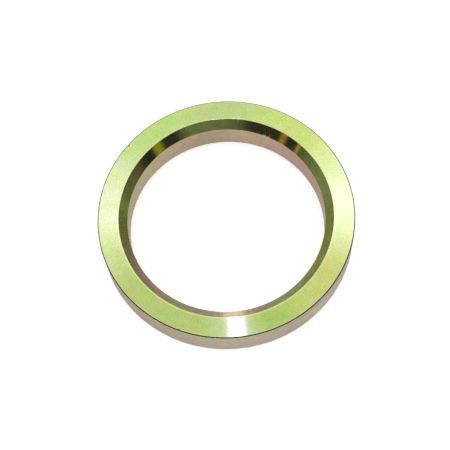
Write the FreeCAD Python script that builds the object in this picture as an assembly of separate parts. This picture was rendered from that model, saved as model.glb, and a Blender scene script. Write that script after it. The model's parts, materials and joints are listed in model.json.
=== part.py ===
import FreeCAD, Part
import math
import os

# A steel ring, turned from one blank, that is pressed onto an axle and carries the lip of an oil seal on
# its outside. Its front face has a wide lead-in cone at the bore, and its other three edges are broken.
# The frame: +Z along the bore, origin at the centre of the plain back face, the lead-in cone on top.

# Driving dimensions, in millimetres and degrees
BORE_DIAMETER = 85.0
RADIAL_WALL = 12.5
RING_WIDTH = 16.0
LEAD_IN_LENGTH = 3.5
LEAD_IN_ANGLE = 45.0
FRONT_SEAL_EDGE_BREAK = 0.4
BACK_SEAL_EDGE_BREAK = 0.4
BACK_BORE_EDGE_BREAK = 0.4

AXIS = FreeCAD.Vector(0, 0, 1)
CENTRE = FreeCAD.Vector(0, 0, 0)
FULL_TURN = 360.0


def ring_section():
    """The half section of the ring, a closed face in the XZ plane, listed from the back face round the bore."""
    bore_radius = BORE_DIAMETER / 2
    outer_radius = bore_radius + RADIAL_WALL
    lead_in_radius = bore_radius + LEAD_IN_LENGTH * math.tan(math.radians(LEAD_IN_ANGLE))
    corners = [
        (outer_radius - BACK_SEAL_EDGE_BREAK, 0),
        (bore_radius + BACK_BORE_EDGE_BREAK, 0),
        (bore_radius, BACK_BORE_EDGE_BREAK),
        (bore_radius, RING_WIDTH - LEAD_IN_LENGTH),
        (lead_in_radius, RING_WIDTH),
        (outer_radius - FRONT_SEAL_EDGE_BREAK, RING_WIDTH),
        (outer_radius, RING_WIDTH - FRONT_SEAL_EDGE_BREAK),
        (outer_radius, BACK_SEAL_EDGE_BREAK),
    ]
    points = [FreeCAD.Vector(radius, 0, height) for radius, height in corners]
    outline = Part.makePolygon(points + points[:1])
    return Part.Face(outline)


def wear_ring():
    """The section turned once about the bore's axis."""
    return ring_section().revolve(CENTRE, AXIS, FULL_TURN)


def main():
    os.makedirs("parts", exist_ok=True)
    ring = wear_ring()
    ring.exportStep(os.path.join("parts", "wear_ring.step"))
    print("wear_ring", ring.ShapeType, "valid", ring.isValid(), "volume", round(ring.Volume, 1), "mm3")


main()
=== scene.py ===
import json
import math

import bmesh
import bpy
from mathutils import Matrix, Vector


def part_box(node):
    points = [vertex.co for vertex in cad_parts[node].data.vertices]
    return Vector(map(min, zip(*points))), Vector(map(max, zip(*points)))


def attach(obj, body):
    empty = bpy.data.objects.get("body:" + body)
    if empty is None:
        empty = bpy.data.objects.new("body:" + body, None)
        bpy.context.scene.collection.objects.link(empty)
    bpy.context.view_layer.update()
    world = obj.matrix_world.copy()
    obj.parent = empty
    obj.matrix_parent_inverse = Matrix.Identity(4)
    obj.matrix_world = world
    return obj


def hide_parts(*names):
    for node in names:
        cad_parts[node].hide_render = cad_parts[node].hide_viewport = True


# The looks of a turned steel wear ring for an oil seal, zinc plated with yellow iridescent passivate.
# Lengths are in metres, or in millimetres where a comment or a name says so. Azimuths are degrees clockwise
# from +Y, seen from above: 0 is the side away from the camera, 180 the side next to it.

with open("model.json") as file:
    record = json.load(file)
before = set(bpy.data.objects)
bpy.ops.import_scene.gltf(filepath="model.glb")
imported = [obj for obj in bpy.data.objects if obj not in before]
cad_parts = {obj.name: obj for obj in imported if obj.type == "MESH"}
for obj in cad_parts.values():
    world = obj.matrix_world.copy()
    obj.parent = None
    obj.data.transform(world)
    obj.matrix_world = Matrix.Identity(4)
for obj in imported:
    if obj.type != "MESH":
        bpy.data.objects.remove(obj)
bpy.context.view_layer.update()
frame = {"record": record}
MM = 0.001
NODE = "wear_ring"

# The ring's section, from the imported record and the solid
mounts = {mount["name"]: mount for mount in frame["record"]["mounts"]}
OUTER_RADIUS = mounts["seal_track"]["dims"]["r_mm"] * MM
TRACK_LENGTH = mounts["seal_track"]["dims"]["length_mm"] * MM
BORE_RADIUS = mounts["bore"]["dims"]["r_mm"] * MM
BORE_LENGTH = mounts["bore"]["dims"]["length_mm"] * MM
BORE_MIDDLE = mounts["bore"]["pos_m"][2]
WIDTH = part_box(NODE)[1][2]
EDGE_BREAK = (WIDTH - TRACK_LENGTH) / 2
CONE_LENGTH = WIDTH - BORE_MIDDLE - BORE_LENGTH / 2
CONE_RADIUS = BORE_RADIUS + CONE_LENGTH
MIDDLE_RADIUS = (OUTER_RADIUS + CONE_RADIUS) / 2

# How finely the ring is turned here: steps in the whole turn, and sectors that are spun or copied
STEPS = 1440
SECTORS = 16
MERGE_DISTANCE = 0.002 * MM
CORNER_ROUNDING = 0.07 * MM
# Rings of points this far from each corner, which keep the wide surfaces flat in the shading
HOLDING_DISTANCES = (1.0 * MM, 0.25 * MM)
SHARP_ANGLE = math.radians(1.5)


def linear(hex_colour):
    """An sRGB hex colour as linear RGBA."""
    channels = [int(hex_colour[start:start + 2], 16) / 255 for start in (1, 3, 5)]
    return [c / 12.92 if c <= 0.04045 else ((c + 0.055) / 1.055) ** 2.4 for c in channels] + [1.0]


def at_azimuth(azimuth, radius, height):
    """The point at an azimuth in degrees, a radius and a height."""
    turn = math.radians(azimuth)
    return Vector((radius * math.sin(turn), radius * math.cos(turn), height))


# The ring's mesh, with one material slot for each finish
FACE_SLOT, CONE_SLOT, BORE_SLOT, TRACK_SLOT, BREAK_SLOT = range(5)
# How far a normal points up or down: above the first on a flat side, below the second on a wall
FLAT_NORMAL = 0.9
WALL_NORMAL = 0.3

# Handling nicks in the edges: azimuth in degrees, then radius, height, reach and depth in millimetres
NICKS = (
    (313.5, 54.8, 15.8, 0.6, 0.3),
    (219.5, 54.8, 15.8, 0.5, 0.25),
    (216.6, 54.8, 15.8, 0.5, 0.25),
    (206.0, 54.7, 15.9, 0.5, 0.3),
    (9.6, 46.0, 16.0, 0.4, 0.12),
    (12.2, 46.0, 16.0, 0.4, 0.12),
    (28.6, 42.5, 12.5, 0.6, 0.25),
    (31.2, 42.5, 12.5, 0.5, 0.2),
)


def ring_section(mesh):
    """Draws the ring's half section in the XZ plane, with its corners rounded as the tool leaves them."""
    corners = [
        (OUTER_RADIUS - EDGE_BREAK, 0),
        (BORE_RADIUS + EDGE_BREAK, 0),
        (BORE_RADIUS, EDGE_BREAK),
        (BORE_RADIUS, WIDTH - CONE_LENGTH),
        (CONE_RADIUS, WIDTH),
        (OUTER_RADIUS - EDGE_BREAK, WIDTH),
        (OUTER_RADIUS, WIDTH - EDGE_BREAK),
        (OUTER_RADIUS, EDGE_BREAK),
    ]
    section = mesh.faces.new([mesh.verts.new((radius, 0, height)) for radius, height in corners])
    bmesh.ops.bevel(mesh, geom=section.verts[:], affect="VERTICES", offset=CORNER_ROUNDING, segments=3,
                    profile=0.5, material=-1)
    bmesh.ops.delete(mesh, geom=mesh.faces[:], context="FACES_ONLY")
    long_edges = [edge for edge in mesh.edges if edge.calc_length() > 3 * HOLDING_DISTANCES[0]]
    for end in [end for edge in long_edges for end in edge.verts]:
        for distance in HOLDING_DISTANCES:
            longest = max(end.link_edges, key=lambda linked: linked.calc_length())
            bmesh.utils.edge_split(longest, end, distance / longest.calc_length())


def slot_of(face):
    """The finish of a face of the ring, by the way it points and where it lies."""
    middle = face.calc_center_median()
    outside = middle.xy.length > MIDDLE_RADIUS
    if abs(face.normal.z) > FLAT_NORMAL:
        return FACE_SLOT
    if abs(face.normal.z) < WALL_NORMAL:
        return TRACK_SLOT if outside else BORE_SLOT
    return CONE_SLOT if middle.z > WIDTH / 2 and not outside else BREAK_SLOT


def press_nicks(mesh):
    """Presses the handling nicks into the edges."""
    for azimuth, radius, height, reach, depth in NICKS:
        middle = at_azimuth(azimuth, radius * MM, height * MM)
        for vertex in mesh.verts:
            nearness = 1 - (vertex.co - middle).length / (reach * MM)
            if nearness > 0:
                vertex.co -= vertex.normal * depth * MM * min(1, 2 * nearness)


def turned_ring():
    """The whole ring, spun from its section."""
    mesh = bmesh.new()
    ring_section(mesh)
    done = 2 * math.pi / SECTORS
    bmesh.ops.spin(mesh, geom=mesh.verts[:] + mesh.edges[:], cent=(0, 0, 0), axis=(0, 0, 1), angle=done,
                   steps=STEPS // SECTORS)
    while done < math.pi * 1.5:
        copied = bmesh.ops.duplicate(mesh, geom=mesh.verts[:] + mesh.edges[:] + mesh.faces[:])["geom"]
        bmesh.ops.rotate(mesh, verts=[part for part in copied if isinstance(part, bmesh.types.BMVert)],
                         cent=(0, 0, 0), matrix=Matrix.Rotation(done, 3, "Z"))
        done *= 2
    bmesh.ops.remove_doubles(mesh, verts=mesh.verts[:], dist=MERGE_DISTANCE)
    bmesh.ops.recalc_face_normals(mesh, faces=mesh.faces[:])
    mesh.normal_update()
    for face in mesh.faces:
        face.smooth = True
        face.material_index = slot_of(face)
    press_nicks(mesh)
    for edge in mesh.edges:
        edge.smooth = edge.calc_face_angle(math.pi) < SHARP_ANGLE
    data = bpy.data.meshes.new("turned_ring")
    mesh.to_mesh(data)
    mesh.free()
    ring = bpy.data.objects.new("turned_ring", data)
    bpy.context.scene.collection.objects.link(ring)
    return ring


# The materials. These are a Mix node's sockets for colours.
MIX_A, MIX_B, MIX_OUT = 6, 7, 2
# The clouds in the film are this much longer round the ring than across it
ROUND_STRETCH = 1.2
# The film's specks, about as large as they look on the real ring, and how far they shade it
SPECK_MM = 0.45
SPECK_SHADE = (0.91, 1.09)
# Real tool marks are 0.1 to 0.2 mm apart, too fine to show here, so they are drawn coarser
TOOL_MARK_MM = 0.8
MARK_DEPTH_MM = 0.003


def add(tree, kind, inputs=None, **settings):
    """Adds one node with its settings, and with values or links for its inputs."""
    made = tree.nodes.new(kind)
    for name, value in settings.items():
        setattr(made, name, value)
    for key, value in (inputs or {}).items():
        if isinstance(value, bpy.types.NodeSocket):
            tree.links.new(value, made.inputs[key])
        else:
            made.inputs[key].default_value = value
    return made


def new_material(name):
    """A material with an empty node tree, and that tree."""
    material = bpy.data.materials.new(name)
    material.use_nodes = True
    material.node_tree.nodes.clear()
    return material, material.node_tree


def with_patches(tree, colour, outward, patches):
    """The colour with soft patches laid over it: each patch's colour, the azimuth of its middle, and how many
    degrees from there it ends and is full. One that is full only below 0 stays partly clear."""
    for tint, azimuth, edge, full in patches:
        away = add(tree, "ShaderNodeVectorMath", {0: outward, 1: at_azimuth(azimuth, 1, 0)},
                   operation="DOT_PRODUCT").outputs["Value"]
        away = add(tree, "ShaderNodeMath", {0: away}, operation="ARCCOSINE").outputs[0]
        away = add(tree, "ShaderNodeMath", {0: away}, operation="DEGREES").outputs[0]
        share = add(tree, "ShaderNodeMapRange", {0: away, 1: edge, 2: full}, interpolation_type="SMOOTHSTEP")
        colour = add(tree, "ShaderNodeMix", {0: share.outputs[0], MIX_A: colour, MIX_B: linear(tint)},
                     data_type="RGBA").outputs[MIX_OUT]
    return colour


def passivated_zinc(name, film, clouds, roughness, grazing, patches=(), bands=(), painted_highlights=()):
    """Yellow passivated zinc on turned steel: a thin clear film over fine concentric tool marks. Its
    thickness decides its colour, which differs from place to place and blooms in small soft clouds.

    The clouds are two tints, a size in millimetres, the noise levels of both tints, and a shift. The bands
    are a tint and the sum of radius and height in millimetres where it starts and is full. The painted
    highlights are patches over the clouds that paint the film paler and even where the lamps' highlights
    lie. The grazing tint shows at a low angle."""
    material, tree = new_material(name)
    place = add(tree, "ShaderNodeTexCoord").outputs["Object"]
    axes = add(tree, "ShaderNodeSeparateXYZ", {0: place})
    flat = add(tree, "ShaderNodeCombineXYZ", {0: axes.outputs[0], 1: axes.outputs[1]}).outputs[0]
    radius = add(tree, "ShaderNodeVectorMath", {0: flat}, operation="LENGTH").outputs["Value"]
    # The way across the ring's section, on its flat sides and its walls alike: radius plus height
    across = add(tree, "ShaderNodeMath", {0: radius, 1: axes.outputs[2]}, operation="ADD").outputs[0]
    lift = add(tree, "ShaderNodeCombineXYZ", {2: across}).outputs[0]
    outward = add(tree, "ShaderNodeVectorMath", {0: flat}, operation="NORMALIZE").outputs[0]
    around = add(tree, "ShaderNodeVectorMath", {0: outward, "Scale": MIDDLE_RADIUS / ROUND_STRETCH},
                 operation="SCALE").outputs[0]
    turned = add(tree, "ShaderNodeVectorMath", {0: around, 1: lift}).outputs[0]

    colour = with_patches(tree, linear(film), outward, patches)
    for tint, start, full in bands:
        share = add(tree, "ShaderNodeMapRange", {0: across, 1: start * MM, 2: full * MM},
                    interpolation_type="SMOOTHSTEP")
        colour = add(tree, "ShaderNodeMix", {0: share.outputs[0], MIX_A: colour, MIX_B: linear(tint)},
                     data_type="RGBA").outputs[MIX_OUT]
    for thin, thick, size, low, high, shift in clouds:
        moved = add(tree, "ShaderNodeVectorMath", {0: turned, 1: (shift, 0, 0)})
        cloud = add(tree, "ShaderNodeTexNoise",
                    {"Vector": moved.outputs[0], "Scale": 1 / (size * MM), "Detail": 3.0})
        share = add(tree, "ShaderNodeMapRange", {0: cloud.outputs[0], 1: low, 2: high})
        cloud = add(tree, "ShaderNodeMix", {0: share.outputs[0], MIX_A: linear(thin), MIX_B: linear(thick)},
                    data_type="RGBA").outputs[MIX_OUT]
        colour = add(tree, "ShaderNodeMix", {0: 1.0, MIX_A: colour, MIX_B: cloud},
                     data_type="RGBA", blend_type="MULTIPLY").outputs[MIX_OUT]
    colour = with_patches(tree, colour, outward, painted_highlights)

    marks = add(tree, "ShaderNodeTexNoise", {"W": across, "Scale": 1 / (TOOL_MARK_MM * MM), "Detail": 2.0},
                noise_dimensions="1D").outputs[0]
    specks = add(tree, "ShaderNodeTexNoise", {"Vector": turned, "Scale": 1 / (SPECK_MM * MM), "Detail": 1.0})
    shade = add(tree, "ShaderNodeMapRange",
                {0: specks.outputs[0], 1: 0.3, 2: 0.7, 3: SPECK_SHADE[0], 4: SPECK_SHADE[1]}).outputs[0]
    colour = add(tree, "ShaderNodeVectorMath", {0: colour, "Scale": shade}, operation="SCALE").outputs[0]
    normal = add(tree, "ShaderNodeBump", {"Height": marks, "Distance": MARK_DEPTH_MM * MM}).outputs[0]
    tangent = add(tree, "ShaderNodeTangent", direction_type="RADIAL", axis="Z").outputs[0]
    shader = add(tree, "ShaderNodeBsdfPrincipled", {
        "Base Color": colour, "Metallic": 1.0, "Roughness": roughness, "Anisotropic": 1.0,
        "Anisotropic Rotation": 0.25, "Tangent": tangent, "Normal": normal,
        "Specular Tint": linear(grazing),
    })
    add(tree, "ShaderNodeOutputMaterial", {0: shader.outputs[0]})
    return material


def studio_floor():
    """Matt white paper: diffuse, so that it keeps the ring's shadow, and lifted to white where it is seen."""
    material, tree = new_material("floor_matt_white")
    seen = add(tree, "ShaderNodeLightPath")
    lift = add(tree, "ShaderNodeMath", {0: seen.outputs["Is Camera Ray"], 1: seen.outputs["Is Glossy Ray"]})
    lift = add(tree, "ShaderNodeMath", {0: lift.outputs[0], 1: seen.outputs["Is Transmission Ray"]})
    lift = add(tree, "ShaderNodeMath", {0: lift.outputs[0], 1: FLOOR_LIFT}, operation="MULTIPLY")
    matt = add(tree, "ShaderNodeBsdfDiffuse", {"Color": linear(FLOOR_COLOUR)})
    glow = add(tree, "ShaderNodeEmission", {"Strength": lift.outputs[0]})
    both = add(tree, "ShaderNodeAddShader", {0: matt.outputs[0], 1: glow.outputs[0]})
    add(tree, "ShaderNodeOutputMaterial", {0: both.outputs[0]})
    return material


# The studio
CAMERA_DISTANCE = 0.5
CAMERA_ELEVATION = 67.12
CAMERA_ROLL = -5.69
CAMERA_LENS_MM = 92.41
AIM_OFFSET = Vector((-0.83 * MM, -1.35 * MM))
SURROUND_RADIUS = 0.78
SURROUND_HEIGHT = 0.72
FLOOR_RADIUS = 8.0
FLOOR_COLOUR = "#f8f8f8"
# How far the floor is lifted towards white where the camera or a reflection sees it
FLOOR_LIFT = 0.5
SKY_STRENGTH = 1.1
LAMP_COLOUR = "#ccb8ff"
NEAR_LAMP_COLOUR = "#9b6fff"
BORE_LAMP_COLOUR = "#e8ffe0"

# What stands round the table, in grey and dark cards with two warm gaps and an olive one between them:
# azimuths of both ends in degrees, how soft the ends are, and the colour
SURROUND_GREY = "#989898"
CARDS = (
    (268, 330, 12, "#b6b6b0"),
    (40, 70, 10, "#8e8c88"),
    (86, 112, 14, "#86847e"),
    (108, 150, 16, "#322a40"),
    (124.0, 131.6, 5, "#ccbc38"),
    (201, 252.5, 18, "#372e47"),
    (233.8, 238, 4, "#f4a850"),
    (248.4, 250.6, 1.5, "#ffd068"),
)

# The lamps that the face mirrors, as soft round highlights at both sides and a narrow one next to the
# camera: name, azimuth of the highlight, distance, width, height and power in watts
SIDE_LAMPS = (
    ("right_lamp", 88.0, 0.9, 0.14, 0.15, 0.061),
    ("right_lamp_middle", 91.0, 0.9, 0.065, 0.08, 0.029),
    ("left_lamp", 278.5, 0.9, 0.15, 0.16, 0.056),
    ("left_lamp_middle", 280.5, 0.9, 0.09, 0.1, 0.024),
)
NEAR_LAMPS = (
    ("near_lamp", 180.2, 0.16, 0.0063, 0.027, 0.0165),
    ("near_lamp_edge", 185.5, 0.17, 0.014, 0.03, 0.0008),
)

# The tube lamp over the far side, which the far inner edge mirrors as a short pale line
TUBE_PLACE = Vector((0, 0.122, 0.29))
TUBE_LENGTH = 0.17
TUBE_THICKNESS = 0.009
TUBE_POWER = 0.0035

# The strips of light in the bore, which the cone mirrors next to the camera. They stand one behind another,
# the widest at the back, so that the glint fades to its sides: width of each, and its share of the power.
BORE_LAMP_AZIMUTH = 181.7
BORE_LAMP_RADIUS = 0.0303
BORE_LAMP_LIFT = 0.0096
BORE_LAMP_GAP = 0.1
BORE_LAMP_HEIGHT = 0.008
BORE_LAMP_POWER = 0.051
BORE_LAMP_STRIPS = ((0.0042, 0.2), (0.0067, 0.4), (0.0091, 0.25), (0.0134, 0.15))
# Radius and height of the glint on the cone
CONE_GLINT = (0.044, 0.0143)


def add_camera():
    """The camera, at the photo's angle and distance."""
    data = bpy.data.cameras.new("camera")
    data.lens = CAMERA_LENS_MM
    camera = bpy.data.objects.new("camera", data)
    tilt = Matrix.Rotation(math.radians(90 - CAMERA_ELEVATION), 4, "X")
    roll = Matrix.Rotation(math.radians(CAMERA_ROLL), 4, "Z")
    back = tilt @ Vector((AIM_OFFSET.x, AIM_OFFSET.y, CAMERA_DISTANCE))
    centre = Vector((0, 0, WIDTH / 2))
    camera.matrix_world = Matrix.Translation(centre + back) @ tilt @ roll
    bpy.context.scene.collection.objects.link(camera)
    bpy.context.scene.camera = camera
    return camera


def add_floor():
    """A wide round floor under the ring."""
    mesh = bmesh.new()
    bmesh.ops.create_circle(mesh, cap_ends=True, segments=96, radius=FLOOR_RADIUS)
    data = bpy.data.meshes.new("floor")
    mesh.to_mesh(data)
    mesh.free()
    floor = bpy.data.objects.new("floor", data)
    data.materials.append(studio_floor())
    bpy.context.scene.collection.objects.link(floor)


def surround_cards():
    """The cards' colours by azimuth, with soft ends."""
    material, tree = new_material("surround_cards")
    place = add(tree, "ShaderNodeSeparateXYZ", {0: add(tree, "ShaderNodeTexCoord").outputs["Object"]})
    turn = add(tree, "ShaderNodeMath", {0: place.outputs[0], 1: place.outputs[1]}, operation="ARCTAN2")
    turn = add(tree, "ShaderNodeMath", {0: turn.outputs[0]}, operation="DEGREES")
    azimuth = add(tree, "ShaderNodeMath", {0: turn.outputs[0], 1: 360.0, 2: 0.0}, operation="WRAP").outputs[0]
    colour = linear(SURROUND_GREY)
    for start, end, soft, card in CARDS:
        rise = add(tree, "ShaderNodeMapRange", {0: azimuth, 1: start - soft / 2, 2: start + soft / 2},
                   interpolation_type="SMOOTHSTEP")
        fall = add(tree, "ShaderNodeMapRange", {0: azimuth, 1: end + soft / 2, 2: end - soft / 2},
                   interpolation_type="SMOOTHSTEP")
        share = add(tree, "ShaderNodeMath", {0: rise.outputs[0], 1: fall.outputs[0]}, operation="MULTIPLY")
        colour = add(tree, "ShaderNodeMix", {0: share.outputs[0], MIX_A: colour, MIX_B: linear(card)},
                     data_type="RGBA").outputs[MIX_OUT]
    shine = add(tree, "ShaderNodeEmission", {"Color": colour})
    add(tree, "ShaderNodeOutputMaterial", {0: shine.outputs[0]})
    return material


def add_surround():
    """Upright cards in a circle about the ring, which only the metal's reflections show."""
    mesh = bmesh.new()
    foot = mesh.verts.new((0, SURROUND_RADIUS, 0))
    top = mesh.verts.new((0, SURROUND_RADIUS, SURROUND_HEIGHT))
    mesh.edges.new((foot, top))
    bmesh.ops.spin(mesh, geom=mesh.verts[:] + mesh.edges[:], cent=(0, 0, 0), axis=(0, 0, 1),
                   angle=2 * math.pi, steps=180, use_merge=True)
    data = bpy.data.meshes.new("surround")
    mesh.to_mesh(data)
    mesh.free()
    surround = bpy.data.objects.new("surround", data)
    data.materials.append(surround_cards())
    surround.visible_camera = False
    surround.visible_diffuse = False
    surround.visible_shadow = False
    bpy.context.scene.collection.objects.link(surround)


def add_lamp(name, place, target, width, height, power, shape="ELLIPSE", colour=LAMP_COLOUR):
    """A flat soft lamp that faces a target."""
    data = bpy.data.lights.new(name, "AREA")
    data.shape = shape
    data.size = width
    data.size_y = height
    data.energy = power
    data.color = linear(colour)[:3]
    lamp = bpy.data.objects.new(name, data)
    turn = (target - place).to_track_quat("-Z", "Y")
    lamp.matrix_world = Matrix.Translation(place) @ turn.to_matrix().to_4x4()
    lamp.visible_camera = False
    lamp.visible_diffuse = False
    bpy.context.scene.collection.objects.link(lamp)


def add_world():
    """Even white light from all round."""
    world = bpy.data.worlds.new("studio")
    world.use_nodes = True
    world.node_tree.nodes.clear()
    sky = add(world.node_tree, "ShaderNodeBackground", {"Strength": SKY_STRENGTH})
    add(world.node_tree, "ShaderNodeOutputWorld", {0: sky.outputs[0]})
    bpy.context.scene.world = world


def add_mirrored_lamp(camera, name, azimuth, distance, width, height, power, *kind):
    """A lamp at a distance, placed so that the ring's face mirrors it to the camera at an azimuth."""
    point = at_azimuth(azimuth, MIDDLE_RADIUS, WIDTH)
    back = (camera.matrix_world.translation - point).normalized()
    back.xy *= -1
    add_lamp(name, point + distance * back, point, width, height, power, *kind)


def add_bore_lamps():
    """The strips of light in the bore, each a little nearer to the middle than the narrower ones."""
    target = at_azimuth(BORE_LAMP_AZIMUTH, *CONE_GLINT)
    for width, share in BORE_LAMP_STRIPS:
        place = at_azimuth(BORE_LAMP_AZIMUTH, BORE_LAMP_RADIUS - BORE_LAMP_GAP * width, BORE_LAMP_LIFT)
        add_lamp("bore_lamp", place, target, width, BORE_LAMP_HEIGHT, BORE_LAMP_POWER * width * share,
                 "RECTANGLE", BORE_LAMP_COLOUR)


bpy.context.scene.view_settings.view_transform = "Standard"
camera = add_camera()
add_floor()
add_world()
add_surround()
for lamp in SIDE_LAMPS:
    add_mirrored_lamp(camera, *lamp)
for lamp in NEAR_LAMPS:
    add_mirrored_lamp(camera, *lamp, "RECTANGLE", NEAR_LAMP_COLOUR)
add_lamp("tube_lamp", TUBE_PLACE, Vector((0, 0, WIDTH)), TUBE_LENGTH, TUBE_THICKNESS, TUBE_POWER, "RECTANGLE")
add_bore_lamps()

ring = turned_ring()

# The finishes, in the order of their slots
FINISHES = (
    # A faced side: lime with soft frosty, green and yellow clouds and a pale line at both edges. Its patches
    # by azimuth are partly the film's own tint and partly painted reflection, with painted shade on the side
    # next to the camera
    passivated_zinc(
        "zinc_passivate_on_faced_steel", "#d0ee9e",
        clouds=(("#fffcff", "#fffcd0", 2.2, 0.35, 0.65, 0.0), ("#ffffff", "#ecffec", 4.5, 0.4, 0.75, 0.3)),
        roughness=0.16,
        grazing="#ecc8d4",
        patches=(("#c4d98b", 205, 100, 30), ("#b6d678", 160, 38, 12), ("#d8e08e", 128, 40, 10),
                 ("#e0f09a", 47, 36, 10), ("#d2e4a2", 2, 24, 6), ("#c6de97", 182, 18, 9)),
        bands=(("#d8dcb4", 70.0, 70.5), ("#e2eca6", 62.9, 62.5)),
        # Painted highlights: paler film where the side lamps' highlights lie, and narrow painted reflection
        # streaks beside the left one
        painted_highlights=(("#d1e4a3", 89, 42, -10), ("#ccd894", 280, 48, -8), ("#cad99c", 274, 4, 1),
                    ("#cddc9e", 287, 6, 2), ("#cee39b", 303, 5, 2))),
    # The turned lead-in cone: darker olive and blotchy, mauve at a low angle. Its lighter, darker and mauve
    # patches by azimuth are painted reflection and painted shade, with a small painted glint at 282 degrees
    passivated_zinc(
        "zinc_passivate_on_turned_cone", "#a4b26a",
        clouds=(("#ffffff", "#e0f0e8", 3.0, 0.4, 0.7, 0.1), ("#ffffff", "#fff0e0", 4.0, 0.4, 0.7, 0.4),
                ("#ffffff", "#808080", 0.7, 0.6, 0.75, 0.8)),
        roughness=0.13,
        grazing="#c890d8",
        patches=(("#989473", 190, 70, 30), ("#8a9b65", 145, 24, 8), ("#8f986e", 209, 11, 4),
                 ("#bcad98", 246, 20, 10), ("#b09a84", 230, 9, 4), ("#b0c272", 114, 18, 4),
                 ("#95a360", 9, 8, 2), ("#b6ce76", 282, 5, 1.5), ("#ada362", 305, 7, 3))),
    # The bored wall: tan, mauve at a low angle, with patches by azimuth that are partly the film's own tint
    # and partly painted reflection
    passivated_zinc(
        "zinc_passivate_on_bored_steel", "#bcaa90",
        clouds=(("#ffffff", "#f0fff8", 3.0, 0.35, 0.65, 0.2), ("#ffffff", "#fff0f0", 2.5, 0.35, 0.65, 0.5)),
        roughness=0.25,
        grazing="#d8c8c4",
        patches=(("#c2ba9a", 296, 40, 8), ("#b0a086", 354, 20, 4), ("#bca596", 52, 40, 14))),
    # The ground seal track: pale straw, greener next to the front edge, tan at a low angle, with a lighter,
    # greener patch at 134 degrees that is partly the film's own tint and partly painted reflection
    passivated_zinc(
        "zinc_passivate_on_ground_track", "#ccc3ac",
        clouds=(("#ffffff", "#f4fff6", 2.6, 0.4, 0.65, 0.3), ("#ffffff", "#fff0f4", 2.2, 0.4, 0.65, 0.6)),
        roughness=0.25,
        grazing="#aa98a8",
        patches=(("#d6d6be", 134, 20, 8),),
        bands=(("#c4c8a0", 64, 68),)),
    # The broken edges: painted dark, a painted shade line along the edges
    passivated_zinc(
        "zinc_passivate_on_broken_edge", "#40481a",
        clouds=(("#ffffff", "#b0b0b0", 2.0, 0.4, 0.7, 0.9),),
        roughness=0.18,
        grazing="#606048"),
)
for finish in FINISHES:
    ring.data.materials.append(finish)
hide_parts(NODE)
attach(ring, "root")
